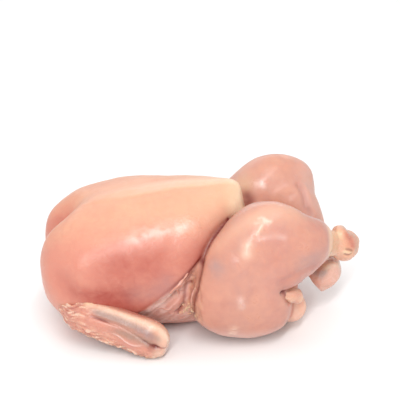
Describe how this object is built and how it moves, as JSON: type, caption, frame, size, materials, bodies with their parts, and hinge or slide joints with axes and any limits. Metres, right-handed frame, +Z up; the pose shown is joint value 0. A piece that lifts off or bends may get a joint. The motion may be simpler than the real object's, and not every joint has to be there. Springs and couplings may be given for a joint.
{
  "type": "skinless whole chicken",
  "caption": "Raw skinless whole chicken lying on its back, with a domed breast split at the neck end, rounded folded legs crossed at the hocks, wings at the sides and a small tail.",
  "frame": {"origin": "middle of the bounding box's footprint, on the surface the bird lies on", "axes": "+X towards the legs and tail (the neck end is at -X), +Z up through the breast, so the bird's right side is at -Y"},
  "size_m": [0.2423, 0.1554, 0.1126],
  "materials": {
    "flesh": "moist raw meat, satin, pale pink with peach breast"
  },
  "bodies": {
    "root": {"chicken": "flesh"}
  },
  "joints": []
}
